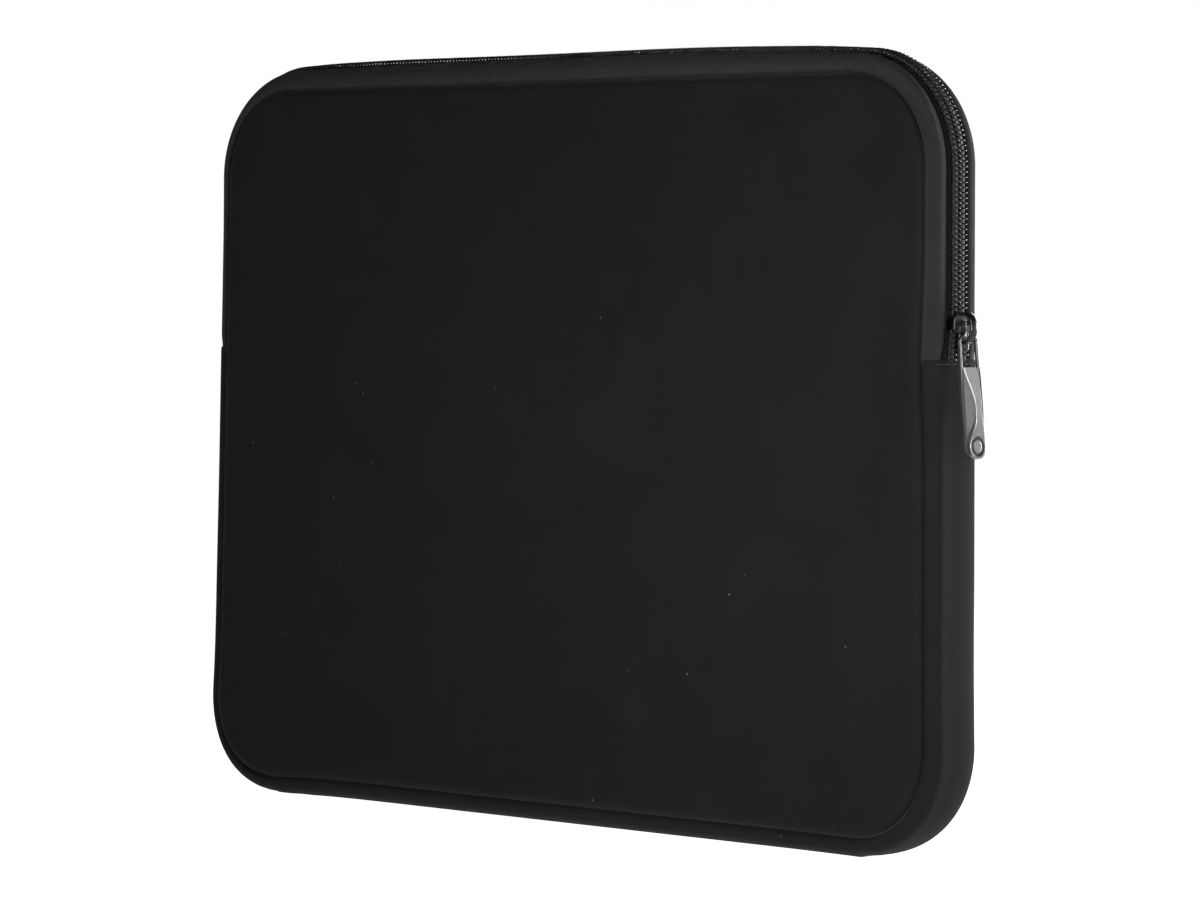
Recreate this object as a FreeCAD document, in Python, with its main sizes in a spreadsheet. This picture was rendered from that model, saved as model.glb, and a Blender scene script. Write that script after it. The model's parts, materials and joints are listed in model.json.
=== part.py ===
import FreeCAD
import Part
import Sketcher
import math
import os

# A zipped neoprene laptop sleeve, standing on its long lower edge.
# Millimetres. X runs along the width (the slider parks on the +X side), Y through the
# thickness (the front panel faces -Y) and Z up, from the centre of the flat base.
# The two panels meet the edge band along a seam loop, a rectangle with round corners.
# Sections of the band are drawn as a rise outwards from that loop, and a depth along Y.

SIZES = {
    # Seam loop
    "seam_width": 345.0,
    "seam_height": 255.0,
    "seam_radius": 31.5,
    "seam_gap": 0.6,
    # Panels, linings and the binding over the inner seams
    "inner_depth": 11.3,
    "panel_thick": 3.2,
    "panel_round": 2.4,
    "layer_gap": 0.05,
    "lining_thick": 1.2,
    "lining_inset": 2.0,
    "binding_wide": 4.2,
    "binding_thick": 1.2,
    "thread_wide": 0.5,
    "thread_depth": 13.0,
    # Edge band
    "band_edge": 12.6,
    "band_flat": 5.0,
    "gusset_rise": 7.5,
    "gusset_thick": 3.2,
    "gusset_lining_thick": 1.0,
    "join_height": 167.5,
    "join_gap": 0.6,
    "fold_height": 189.5,
    "fold_gap": 0.4,
    # Zipper
    "tape_rise": 6.9,
    "tape_thick": 1.1,
    "tape_slot": 1.6,
    "tape_flat": 7.4,
    "valley_rise": 5.4,
    "valley_wide": 11.8,
    "coil_wide": 2.9,
    "coil_tall": 2.0,
    # Slider, measured from its own middle
    "slider_height": 176.5,
    "slider_length": 13.0,
    "slider_narrow": 9.8,
    "slider_wide": 10.8,
    "slider_tongue": 5.0,
    "slider_plate": 1.2,
    "slider_wall": 0.9,
    "slider_clearance": 0.4,
    "slider_post_wide": 1.0,
    "slider_post_long": 4.5,
    # Crown, pawl and puller
    "crown_lift": 1.3,
    "crown_wide": 3.2,
    "crown_long": 10.6,
    "crown_tall": 4.4,
    "crown_band": 1.2,
    "pawl_wide": 1.2,
    "pawl_long": 5.4,
    "pawl_tall": 0.35,
    "hinge_rise": 11.0,
    "hinge_lift": 3.0,
    "puller_lean": 4.0,
    "puller_thick": 1.7,
    "puller_top_wide": 8.4,
    "puller_wide": 9.2,
    "puller_length": 44.8,
    "puller_bar": 0.95,
    "window_wide": 4.8,
    "window_length": 13.8,
    "dimple_wide": 5.4,
    "dimple_length": 3.9,
    "dimple_deep": 0.4,
}


class Size:
    """A length that carries both its value and the spreadsheet expression behind it."""

    def __init__(self, value, text):
        self.value = value
        self.text = text

    def combine(self, other, sign, value):
        text = other.text if isinstance(other, Size) else repr(other)
        return Size(value, f"({self.text} {sign} {text})")

    def __add__(self, other):
        return self.combine(other, "+", self.value + number(other))

    def __sub__(self, other):
        return self.combine(other, "-", self.value - number(other))

    def __mul__(self, factor):
        return self.combine(factor, "*", self.value * number(factor))

    def __truediv__(self, divisor):
        return self.combine(divisor, "/", self.value / number(divisor))

    def __neg__(self):
        return self * -1.0


def number(length):
    return length.value if isinstance(length, Size) else length


def make_sheet(document):
    sheet = document.addObject("Spreadsheet::Sheet", "Sizes")
    for row, (name, value) in enumerate(SIZES.items(), start=1):
        sheet.set(f"A{row}", name)
        sheet.set(f"B{row}", str(value))
        sheet.setAlias(f"B{row}", name)
    document.recompute()
    return {name: Size(value, f"Sizes.{name}") for name, value in SIZES.items()}


doc = FreeCAD.newDocument("laptop_sleeve")
size = make_sheet(doc)
ZERO = size["seam_gap"] * 0.0
pieces = []


# Drawing helpers

def new_body(name):
    body = doc.addObject("PartDesign::Body", name)
    body.Label = name
    pieces.append(body)
    return body


def new_sketch(body, plane_role, offset=None):
    sketch = body.newObject("Sketcher::SketchObject", body.Name + "_sketch")
    plane = [feature for feature in body.Origin.OriginFeatures if feature.Role == plane_role][0]
    sketch.AttachmentSupport = [(plane, "")]
    sketch.MapMode = "FlatFace"
    if offset is not None:
        sketch.setExpression("AttachmentOffset.Base.z", offset.text)
    return sketch


def bind(sketch, kind, references, length):
    index = sketch.addConstraint(Sketcher.Constraint(kind, *references, length.value))
    sketch.setExpression(f"Constraints[{index}]", length.text)


def vector(point):
    return FreeCAD.Vector(point[0].value, point[1].value, 0)


def quarter_arc(start, end):
    """The counterclockwise quarter circle from start to end."""
    first, last = vector(start), vector(end)
    chord = last - first
    centre = (first + last) * 0.5 + FreeCAD.Vector(-chord.y, chord.x, 0) * 0.5
    begin = math.atan2(first.y - centre.y, first.x - centre.x)
    circle = Part.Circle(centre, FreeCAD.Vector(0, 0, 1), (first - centre).Length)
    return Part.ArcOfCircle(circle, begin, begin + math.pi / 2)


def draw_chain(sketch, points, arcs=(), radius=None, closed=True):
    """Joins the points in turn: straight, or by a quarter arc where its index is in arcs."""
    count = len(points) if closed else len(points) - 1
    edges = []
    for index in range(count):
        start, end = points[index], points[(index + 1) % len(points)]
        if index in arcs:
            edges.append(sketch.addGeometry(quarter_arc(start, end)))
        else:
            edges.append(sketch.addGeometry(Part.LineSegment(vector(start), vector(end))))
    for index in range(count if closed else count - 1):
        following = edges[(index + 1) % count]
        sketch.addConstraint(Sketcher.Constraint("Coincident", edges[index], 2, following, 1))
    for index, edge in enumerate(edges):
        bind(sketch, "DistanceX", (-1, 1, edge, 1), points[index][0])
        bind(sketch, "DistanceY", (-1, 1, edge, 1), points[index][1])
        if index in arcs:
            bind(sketch, "Radius", (edge,), radius)
    if not closed:
        bind(sketch, "DistanceX", (-1, 1, edges[-1], 2), points[-1][0])
        bind(sketch, "DistanceY", (-1, 1, edges[-1], 2), points[-1][1])


def add_pad(body, sketch, length, midplane=False):
    pad = body.newObject("PartDesign::Pad", body.Name + "_pad")
    pad.Profile = sketch
    pad.setExpression("Length", length.text)
    if midplane:
        pad.SideType = "Symmetric"
    return pad


def add_pocket(body, sketch, length):
    """A pocket both ways through the sketch's plane."""
    pocket = body.newObject("PartDesign::Pocket", body.Name + "_pocket")
    pocket.Profile = sketch
    pocket.setExpression("Length", length.text)
    pocket.SideType = "Symmetric"
    return pocket


def round_edges(body, feature, radius, chosen):
    """Fillets the edges of a feature for which chosen(edge) is true."""
    doc.recompute()
    names = [f"Edge{place}" for place, edge in enumerate(feature.Shape.Edges, 1) if chosen(edge)]
    fillet = body.newObject("PartDesign::Fillet", body.Name + "_round")
    fillet.Base = (feature, names)
    fillet.setExpression("Radius", radius.text)
    return fillet


# The seam loop and the sections of the edge band

def loop_points(inset, span, cut=None):
    """The seam loop moved in by inset, as X and Z pairs, counterclockwise.

    span is "whole", or "upper" or "lower" for the part above or below the height cut.
    Returns the points, the indices of its quarter arcs and their radius.
    """
    right = size["seam_width"] / 2 - inset
    rise = size["seam_height"] / 2 - inset
    radius = size["seam_radius"] - inset
    top, bottom = MIDDLE + rise, MIDDLE - rise
    upper = [(right, top - radius), (right - radius, top), (radius - right, top), (-right, top - radius)]
    lower = [(-right, bottom + radius), (radius - right, bottom),
             (right - radius, bottom), (right, bottom + radius)]
    if span == "upper":
        return [(right, cut)] + upper + [(-right, cut)], (1, 3), radius
    if span == "lower":
        return [(-right, cut)] + lower + [(right, cut)], (1, 3), radius
    return [(right, MIDDLE)] + upper + lower, (1, 3, 5, 7), radius


def shoulder(rise, edge, flat, steps=3):
    """Points of a pillowed corner, from the seam at depth edge out to the flat of the band."""
    start = size["seam_gap"]
    points = []
    for step in range(steps + 1):
        turn = math.pi / 2 * step / steps
        points.append((start + (rise - start) * math.sin(turn), flat + (edge - flat) * math.cos(turn)))
    return points


def facing_front(points):
    return [(rise, -depth) for rise, depth in points]


def band_section(rise, edge, flat, thick):
    """The whole band, from the back seam across to the front seam."""
    outer = shoulder(rise, edge, flat)
    inner = shoulder(rise - thick, edge - thick, flat - thick / 6)
    across = outer + facing_front(outer)[::-1]
    return across + facing_front(inner) + inner[::-1]


def tape_section():
    """The back zipper tape, from its seam over a crown to the valley that holds the coil."""
    rise, thick, valley = size["tape_rise"], size["tape_thick"], size["valley_rise"]
    outer = shoulder(rise, size["band_edge"], size["tape_flat"])
    inner = shoulder(rise - thick, size["band_edge"] - thick, size["tape_flat"] + thick / 4)
    foot, lip = size["valley_wide"] / 2, size["tape_slot"] / 2
    outer += [(valley, foot), (valley, lip)]
    inner += [(valley - thick, foot + thick / 4), (valley - thick, lip)]
    return outer + inner[::-1]


def strip_section(rise, depth, tall, wide):
    """A rectangle from rise outwards and from depth backwards."""
    return [(rise, depth), (rise + tall, depth), (rise + tall, depth + wide), (rise, depth + wide)]


def at_side(section, side=1.0):
    """Puts a section at the seam line of the right (+1) or left (-1) side, as X and Y pairs."""
    seam = size["seam_width"] / 2
    return [((seam + rise) * side, depth) for rise, depth in section]


# Ways to make a piece

def loop_plate(name, inset, near, thick, span="whole", cut=None, rounded=None):
    """A flat layer inside the seam loop. near is the Y of its back surface."""
    body = new_body(name)
    sketch = new_sketch(body, "XZ_Plane", -near)
    points, arcs, radius = loop_points(inset, span, cut)
    draw_chain(sketch, points, arcs, radius)
    pad = add_pad(body, sketch, thick)
    if rounded is not None:
        outer = near.value - thick.value if near.value < 0 else near.value
        level = None if cut is None else cut.value

        def on_rim(edge):
            flat_on_face = abs(edge.BoundBox.YMin - outer) < 0.01 and abs(edge.BoundBox.YMax - outer) < 0.01
            at_fold = level is not None and edge.BoundBox.ZLength < 0.01 \
                and abs(edge.BoundBox.ZMin - level) < 0.01
            return flat_on_face and not at_fold

        round_edges(body, pad, rounded, on_rim)
    return body


def sweep_section(name, sections, span, cut=None):
    """Sections drawn on the right side and swept along the seam loop, each in one body."""
    body = new_body(name)
    starts_at = {"whole": MIDDLE, "upper": cut, "lower": cut}[span]
    spine = new_sketch(body, "XZ_Plane")
    points, arcs, radius = loop_points(ZERO, span, cut)
    draw_chain(spine, points, arcs, radius, closed=span == "whole")
    for section in sections:
        profile = new_sketch(body, "XY_Plane", starts_at)
        draw_chain(profile, at_side(section))
        pipe = body.newObject("PartDesign::AdditivePipe", name + "_pipe")
        pipe.Profile = profile
        pipe.Spine = spine
    return body


def side_strips(name, sections, low, high):
    """Straight lengths of the sections up both sides of the sleeve."""
    body = new_body(name)
    profile = new_sketch(body, "XY_Plane", low)
    for side in (1.0, -1.0):
        for section in sections:
            draw_chain(profile, at_side(section, side))
    add_pad(body, profile, high - low)
    return body


# Sections and levels shared by several pieces

MIDDLE = size["gusset_rise"] + size["seam_height"] / 2
FOLD_LOW = size["fold_height"] - size["fold_gap"] / 2
FOLD_HIGH = size["fold_height"] + size["fold_gap"] / 2
TAPE_END = size["join_height"] + size["join_gap"] / 2
GUSSET_END = size["join_height"] - size["join_gap"] / 2
INNER = size["inner_depth"]
LINING_FACE = INNER - size["layer_gap"]
BINDING_FACE = LINING_FACE - size["lining_thick"] - size["layer_gap"]

back_tape = tape_section()
front_tape = facing_front(back_tape)
back_coil = strip_section(size["valley_rise"], size["tape_slot"] / 2, size["coil_tall"], size["coil_wide"])
front_coil = facing_front(back_coil)
stitch_depth = size["tape_slot"] / 2 + size["coil_wide"] + size["layer_gap"] * 2
back_stitch = strip_section(size["valley_rise"], stitch_depth, size["thread_wide"] / 2, size["thread_wide"])
front_stitch = facing_front(back_stitch)
back_seam = strip_section(ZERO - size["layer_gap"], size["thread_depth"], size["thread_wide"],
                          size["thread_wide"])
front_seam = facing_front(back_seam)
back_binding = strip_section(-size["binding_wide"], BINDING_FACE - size["binding_thick"],
                             size["binding_wide"], size["binding_thick"])
front_binding = facing_front(back_binding)


# Back half, in one piece from the base to the top

loop_plate("back_panel", ZERO, INNER + size["panel_thick"], size["panel_thick"],
           rounded=size["panel_round"])
loop_plate("back_lining", size["lining_inset"], LINING_FACE, size["lining_thick"])
sweep_section("back_seam_binding", [back_binding], "whole")
sweep_section("back_seam_thread", [back_seam], "whole")

# Front, below and above the line where the mouth folds open

for part_name, span, cut in (("lower", "lower", FOLD_LOW), ("upper", "upper", FOLD_HIGH)):
    loop_plate("front_panel_" + part_name, ZERO, -INNER, size["panel_thick"], span, cut,
               rounded=size["panel_round"])
    loop_plate("front_lining_" + part_name, size["lining_inset"], -BINDING_FACE - size["layer_gap"],
               size["lining_thick"], span, cut)
    sweep_section("front_seam_binding_" + part_name, [front_binding], span, cut)
    sweep_section("front_seam_thread_" + part_name, [front_seam], span, cut)

# Edge band: neoprene round the bottom, zipper tape round the top

gusset = band_section(size["gusset_rise"], size["band_edge"], size["band_flat"], size["gusset_thick"])
sweep_section("lower_gusset", [gusset], "lower", GUSSET_END)
lining_offset = size["gusset_thick"] + size["layer_gap"] * 2
gusset_lining = band_section(size["gusset_rise"] - lining_offset, size["band_edge"] - lining_offset,
                             size["band_flat"] - size["gusset_thick"] / 6 - size["layer_gap"],
                             size["gusset_lining_thick"])
sweep_section("lower_gusset_lining", [gusset_lining], "lower", GUSSET_END)

sweep_section("zipper_tape_back", [back_tape], "upper", TAPE_END)
sweep_section("coil_back", [back_coil], "upper", TAPE_END)
sweep_section("coil_stitch_back", [back_stitch], "upper", TAPE_END)
sweep_section("zipper_tape_front", [front_tape], "upper", FOLD_HIGH)
sweep_section("coil_front", [front_coil], "upper", FOLD_HIGH)
sweep_section("coil_stitch_front", [front_stitch], "upper", FOLD_HIGH)
side_strips("zipper_tape_front_ends", [front_tape], TAPE_END, FOLD_LOW)
side_strips("coil_front_ends", [front_coil], TAPE_END, FOLD_LOW)
side_strips("coil_stitch_front_ends", [front_stitch], TAPE_END, FOLD_LOW)

join_stitch = strip_section(size["gusset_rise"], -size["band_flat"], size["thread_wide"] / 2,
                            size["band_flat"] * 2)
side_strips("gusset_join_thread", [join_stitch], GUSSET_END - size["thread_wide"] * 4,
            GUSSET_END - size["thread_wide"] * 3)


# Slider: two plates round the tapes, tied by the post that parts the coils

SLIDER_MIDDLE = size["slider_height"]
SLIDER_LOW = SLIDER_MIDDLE - size["slider_length"] / 2
SLIDER_HIGH = SLIDER_MIDDLE + size["slider_length"] / 2
SEAM_X = size["seam_width"] / 2
COIL_TOP = SEAM_X + size["valley_rise"] + size["coil_tall"]
PLATE_INSIDE = COIL_TOP + size["slider_clearance"]
PLATE_OUTSIDE = PLATE_INSIDE + size["slider_plate"]
INNER_PLATE_TOP = SEAM_X + size["valley_rise"] - size["tape_thick"] - size["slider_clearance"]
RAIL_FOOT = SEAM_X + size["valley_rise"] + size["slider_clearance"]
SLIDER_WAIST = SLIDER_LOW + size["slider_length"] / 2
SLIDER_TOE = size["slider_length"] / 8
CROWN_MIDDLE = SLIDER_MIDDLE + size["crown_lift"]


def both_sides(points):
    """Closes a half outline, as Y and Z pairs up its +Y side, with its mirror image."""
    return points + [(-depth, height) for depth, height in reversed(points)]


def outer_plate_outline():
    """Wide where it holds the rails, with a tongue below it that the coils part round."""
    wide, narrow, tongue = size["slider_wide"] / 2, size["slider_narrow"] / 2, size["slider_tongue"] / 2
    return both_sides([(tongue * 0.6, SLIDER_LOW), (tongue, SLIDER_LOW + SLIDER_TOE / 2),
                       (tongue, SLIDER_WAIST - SLIDER_TOE / 2), (wide * 0.8, SLIDER_WAIST),
                       (wide, SLIDER_WAIST + SLIDER_TOE / 2), (narrow, SLIDER_HIGH - SLIDER_TOE),
                       (narrow * 0.75, SLIDER_HIGH)])


def inner_plate_outline():
    """A plain shield behind the tapes."""
    wide, narrow = size["slider_wide"] / 2, size["slider_narrow"] / 2
    return both_sides([(wide * 0.6, SLIDER_LOW), (wide * 0.9, SLIDER_LOW + SLIDER_TOE),
                       (wide * 0.9, SLIDER_WAIST), (narrow * 0.9, SLIDER_HIGH - SLIDER_TOE),
                       (narrow * 0.65, SLIDER_HIGH)])


def make_slider_body():
    body = new_body("slider_body")
    outer = new_sketch(body, "YZ_Plane", PLATE_INSIDE)
    draw_chain(outer, outer_plate_outline())
    top = add_pad(body, outer, size["slider_plate"])

    def on_outer_face(edge):
        return edge.BoundBox.XMin > PLATE_OUTSIDE.value - 0.01

    round_edges(body, top, size["slider_plate"] / 2.2, on_outer_face)
    post = new_sketch(body, "YZ_Plane", INNER_PLATE_TOP)
    half = size["slider_post_wide"] / 2
    post_low = SLIDER_LOW + size["slider_length"] / 12
    draw_chain(post, both_sides([(half, post_low), (half, post_low + size["slider_post_long"])]))
    add_pad(body, post, PLATE_INSIDE - INNER_PLATE_TOP)
    inner = new_sketch(body, "YZ_Plane", INNER_PLATE_TOP - size["slider_plate"])
    draw_chain(inner, inner_plate_outline())
    add_pad(body, inner, size["slider_plate"])
    rails = new_sketch(body, "YZ_Plane", RAIL_FOOT)
    wide, narrow, wall = size["slider_wide"] / 2, size["slider_narrow"] / 2, size["slider_wall"]
    low, high = SLIDER_WAIST + SLIDER_TOE / 2, SLIDER_HIGH - SLIDER_TOE
    for side in (1.0, -1.0):
        rail = [(wide, low), (narrow, high), (narrow - wall, high), (wide - wall, low)]
        draw_chain(rails, [(depth * side, height) for depth, height in rail])
    add_pad(body, rails, PLATE_INSIDE - RAIL_FOOT)
    return body


def arch_points(long, tall, steps=10):
    """An arch on the slider's outer face, as X and Z pairs."""
    base = PLATE_OUTSIDE + size["layer_gap"]
    points = []
    for step in range(steps + 1):
        turn = math.pi * step / steps
        points.append((base + tall * math.sin(turn) ** 0.6, CROWN_MIDDLE - long / 2 * math.cos(turn)))
    return points


def make_slider_crown():
    body = new_body("slider_crown")
    sketch = new_sketch(body, "XZ_Plane")
    band = size["crown_band"]
    outer = arch_points(size["crown_long"], size["crown_tall"])
    inner = arch_points(size["crown_long"] - band * 2, size["crown_tall"] - band)
    draw_chain(sketch, outer + inner[::-1])
    add_pad(body, sketch, size["crown_wide"], midplane=True)
    return body


def make_lock_pawl():
    body = new_body("slider_lock_pawl")
    sketch = new_sketch(body, "XZ_Plane")
    low = PLATE_OUTSIDE + size["layer_gap"]
    half = size["pawl_long"] / 2
    draw_chain(sketch, [(low, CROWN_MIDDLE - half), (low + size["pawl_tall"], CROWN_MIDDLE - half),
                        (low + size["pawl_tall"] / 2, CROWN_MIDDLE + half), (low, CROWN_MIDDLE + half)])
    add_pad(body, sketch, size["pawl_wide"], midplane=True)
    return body


# Puller: a round bar held in the crown, a windowed plate below it and a dimpled end

PIVOT_X = SEAM_X + size["hinge_rise"]
PIVOT_Z = SLIDER_MIDDLE + size["hinge_lift"]
PULLER_LOW = PIVOT_Z - size["puller_length"]


def make_puller():
    body = new_body("puller_tab")
    face = new_sketch(body, "YZ_Plane", PIVOT_X)
    top, low = size["puller_top_wide"] / 2, size["puller_wide"] / 2
    steps = 6
    outline = [(-low, PULLER_LOW + low), (-top, PIVOT_Z), (top, PIVOT_Z), (low, PULLER_LOW + low)]
    for step in range(1, steps):
        turn = math.pi * step / steps
        outline.append((low * math.cos(turn), PULLER_LOW + low - low * math.sin(turn) ** 0.7))
    draw_chain(face, outline)
    plate = add_pad(body, face, size["puller_thick"], midplane=True)

    def on_a_face(edge):
        return edge.BoundBox.XLength < 0.01

    round_edges(body, plate, size["puller_thick"] / 4, on_a_face)
    hole = new_sketch(body, "YZ_Plane", PIVOT_X)
    half = size["window_wide"] / 2
    window_low = PIVOT_Z - size["window_length"]
    draw_chain(hole, both_sides([(half * 0.6, window_low), (half, window_low + half * 0.4), (half, PIVOT_Z)]))
    add_pocket(body, hole, size["puller_thick"] * 3)
    bar = new_sketch(body, "XZ_Plane")
    ring = bar.addGeometry(Part.Circle(vector((PIVOT_X, PIVOT_Z)), FreeCAD.Vector(0, 0, 1),
                                       size["puller_bar"].value))
    bind(bar, "DistanceX", (-1, 1, ring, 3), PIVOT_X)
    bind(bar, "DistanceY", (-1, 1, ring, 3), PIVOT_Z)
    bind(bar, "Radius", (ring,), size["puller_bar"])
    add_pad(body, bar, size["puller_top_wide"], midplane=True)
    dimple = new_sketch(body, "YZ_Plane", PIVOT_X + size["puller_thick"] / 2)
    oval = []
    for step in range(steps * 2):
        turn = math.pi * step / steps
        oval.append((size["dimple_wide"] / 2 * math.cos(turn),
                     PULLER_LOW + low + size["dimple_length"] / 2 * math.sin(turn)))
    draw_chain(dimple, oval)
    add_pocket(body, dimple, size["dimple_deep"] * 2)
    pivot = FreeCAD.Vector(PIVOT_X.value, 0, PIVOT_Z.value)
    lean = FreeCAD.Rotation(FreeCAD.Vector(0, 1, 0), -size["puller_lean"].value)
    body.Placement = FreeCAD.Placement(FreeCAD.Vector(0, 0, 0), lean, pivot)
    return body


make_slider_body()
make_slider_crown()
make_lock_pawl()
make_puller()


def write_parts():
    """Recomputes, refuses anything unsound and writes one STEP file for each piece."""
    doc.recompute()
    for item in doc.Objects:
        if "Invalid" in item.State or "Error" in item.State:
            raise RuntimeError(f"{item.Label} is {item.State}")
    for piece in pieces:
        if piece.Shape.isNull() or not piece.Shape.isValid() or not piece.Shape.Solids:
            raise RuntimeError(f"{piece.Label} has no sound solid")
    os.makedirs("parts", exist_ok=True)
    for piece in pieces:
        piece.Shape.exportStep(f"parts/{piece.Label}.step")
        box = piece.Shape.BoundBox
        print(f"{piece.Label}: {len(piece.Shape.Solids)} solids, {piece.Shape.Volume / 1000:.2f} cm3,",
              f"Y {box.YMin:.2f} to {box.YMax:.2f}, Z {box.ZMin:.2f} to {box.ZMax:.2f}")


write_parts()
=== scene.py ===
import json
import math
import random

import bpy
import numpy as np
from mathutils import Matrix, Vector


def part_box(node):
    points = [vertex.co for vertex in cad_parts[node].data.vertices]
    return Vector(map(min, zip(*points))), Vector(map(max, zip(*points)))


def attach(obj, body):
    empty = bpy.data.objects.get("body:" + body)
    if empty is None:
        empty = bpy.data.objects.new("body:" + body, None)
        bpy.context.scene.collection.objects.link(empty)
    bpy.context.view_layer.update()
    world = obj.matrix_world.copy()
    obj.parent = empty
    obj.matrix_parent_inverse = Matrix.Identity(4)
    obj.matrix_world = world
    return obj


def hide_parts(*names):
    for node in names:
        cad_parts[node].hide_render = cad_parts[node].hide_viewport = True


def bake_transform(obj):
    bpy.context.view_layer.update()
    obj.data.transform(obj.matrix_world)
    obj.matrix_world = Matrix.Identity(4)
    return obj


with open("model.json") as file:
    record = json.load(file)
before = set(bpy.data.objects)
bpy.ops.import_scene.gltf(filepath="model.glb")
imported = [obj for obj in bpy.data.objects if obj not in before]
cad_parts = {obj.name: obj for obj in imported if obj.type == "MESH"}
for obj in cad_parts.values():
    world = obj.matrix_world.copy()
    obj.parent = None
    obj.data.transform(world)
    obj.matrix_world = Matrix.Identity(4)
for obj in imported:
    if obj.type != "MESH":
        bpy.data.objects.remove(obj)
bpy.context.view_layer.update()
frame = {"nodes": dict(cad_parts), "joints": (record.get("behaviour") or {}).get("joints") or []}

# A zipped neoprene laptop sleeve. Metres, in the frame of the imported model: the front panel
# faces -Y, the slider parks on the +X side and the origin is the centre of the base.
# "Rise" is the distance outwards from the seam loop, the round-cornered rectangle where the
# panels meet the edge band, and "depth" is the place across the band, along Y.

MM = 0.001
random.seed(7)

# Places read from the frame
loop_low, loop_high = (Vector(corner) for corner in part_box("back_lining"))
LINING_INSET = 2.0 * MM
HALF_WIDTH = loop_high.x + LINING_INSET
BOTTOM = loop_low.z - LINING_INSET
TOP = loop_high.z + LINING_INSET
MIDDLE = (TOP + BOTTOM) / 2
SEAM_RADIUS = 31.5 * MM
FRONT_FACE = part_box("front_panel_lower")[0][1]
BACK_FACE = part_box("back_panel")[1][1]
PANEL_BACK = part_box("front_panel_lower")[1][1]
LINING_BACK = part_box("front_lining_lower")[1][1]
JOIN = (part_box("lower_gusset")[1][2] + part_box("zipper_tape_back")[0][2]) / 2
GUSSET_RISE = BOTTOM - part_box("lower_gusset")[0][2]
TAPE_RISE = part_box("zipper_tape_back")[1][2] - TOP
COIL_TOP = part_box("coil_back")[1][2] - TOP
VALLEY = COIL_TOP - 2.0 * MM
SLIDER_LOW, SLIDER_HIGH = (Vector(corner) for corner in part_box("slider_body"))
PULLER_LOW, PULLER_HIGH = (Vector(corner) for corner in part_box("puller_tab"))

# Depths of the seam groove
GROOVE_DEPTH = 10.6 * MM
PILLOW_EDGE = 12.4 * MM

# How full the rounded sections are: 2 is an ellipse, more is fuller
FULLNESS = 2.7
PILLOW_START = 0.1 * MM


def smooth(share):
    """An S-shaped ramp from 0 to 1."""
    share = min(max(share, 0.0), 1.0)
    return share * share * (3 - 2 * share)


# How the soft parts have settled, away from the plain loop

LEFT_LEAN = 0.0324
LEAN_PIVOT = 114 * MM
LEFT_CORNER_PUSH = 3.2 * MM
RIGHT_CORNER_PUSH = 0.8 * MM
CORNER_REACH = 22 * MM
FRONT_BOW = 1.4 * MM
JOIN_PINCH_REACH = 22 * MM
TOP_SWELL = 2.6 * MM
BACK_SWELL = 1.4 * MM
COIL_SWELL = 1.0 * MM
TOP_START = 205 * MM
TOP_RUN = 50 * MM


def settle(x, y, z):
    """Where a point of the soft parts really lies: the left side leans in towards the top, the
    lower corners are pushed out square, and the front's right edge bows out but for its join."""
    if x < 0:
        new_x = x + LEFT_LEAN * (z - LEAN_PIVOT) * smooth(-x / HALF_WIDTH)
    else:
        pinch = math.exp(-((z - JOIN) / JOIN_PINCH_REACH) ** 2)
        to_front = smooth(-(y + 4 * MM) / (7 * MM))
        new_x = x + FRONT_BOW * (1 - pinch) * smooth(x / HALF_WIDTH) * to_front
    inset = SEAM_RADIUS * (1 - math.sqrt(0.5))
    away = math.hypot(abs(x) - (HALF_WIDTH - inset), z - (BOTTOM + inset))
    push = LEFT_CORNER_PUSH if x < 0 else RIGHT_CORNER_PUSH
    push *= math.sqrt(0.5) * math.exp(-0.5 * (away / CORNER_REACH) ** 2)
    return new_x + math.copysign(push, x), y, max(z - push, min(z, 0.0))


def top_swell(x, z):
    """How much further the zipped edge stands out along the top than at the sides."""
    share = (x + HALF_WIDTH) / (2 * HALF_WIDTH)
    along = (1 - share ** 2) * (0.5 + 0.5 * smooth(share / 0.16))
    along += 0.45 * math.exp(-((share - 0.7) / 0.2) ** 2)
    return TOP_SWELL * along * smooth((z - TOP_START) / TOP_RUN)


def on_top(x, z):
    """1 along the top between its corners, and 0 down the sides."""
    right_end = smooth((HALF_WIDTH - 12 * MM - x) / (45 * MM))
    left_end = smooth((x + HALF_WIDTH - 8 * MM) / (90 * MM))
    return right_end * left_end * smooth((z - TOP_START) / TOP_RUN)


# Camera, light and floor

CAMERA_YAW = math.radians(44.2)
CAMERA_PITCH = math.radians(2.3)
CAMERA_DISTANCE = 1.727
CAMERA_LENS = 146.7
AIM = Vector((0.01415, 0.0, 0.133))
CEILING = 0.08
FLOOR_GLOW = 0.94


def make_camera():
    camera = bpy.data.objects.new("camera", bpy.data.cameras.new("camera"))
    bpy.context.scene.collection.objects.link(camera)
    camera.data.lens = CAMERA_LENS
    camera.data.sensor_width = 36.0
    camera.data.clip_end = 50.0
    away = Vector((math.sin(CAMERA_YAW) * math.cos(CAMERA_PITCH),
                   -math.cos(CAMERA_YAW) * math.cos(CAMERA_PITCH),
                   math.sin(CAMERA_PITCH)))
    camera.location = AIM + away * CAMERA_DISTANCE
    camera.rotation_euler = (-away).to_track_quat("-Z", "Y").to_euler()
    bpy.context.scene.camera = camera


def area_light(name, place, target, width, height, power, spread):
    light = bpy.data.lights.new(name, "AREA")
    light.spread = math.radians(spread)
    light.shape = "RECTANGLE"
    light.size, light.size_y = width, height
    light.energy = power
    holder = bpy.data.objects.new(name, light)
    bpy.context.scene.collection.objects.link(holder)
    holder.location = place
    holder.rotation_euler = (Vector(target) - Vector(place)).to_track_quat("-Z", "Y").to_euler()


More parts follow.
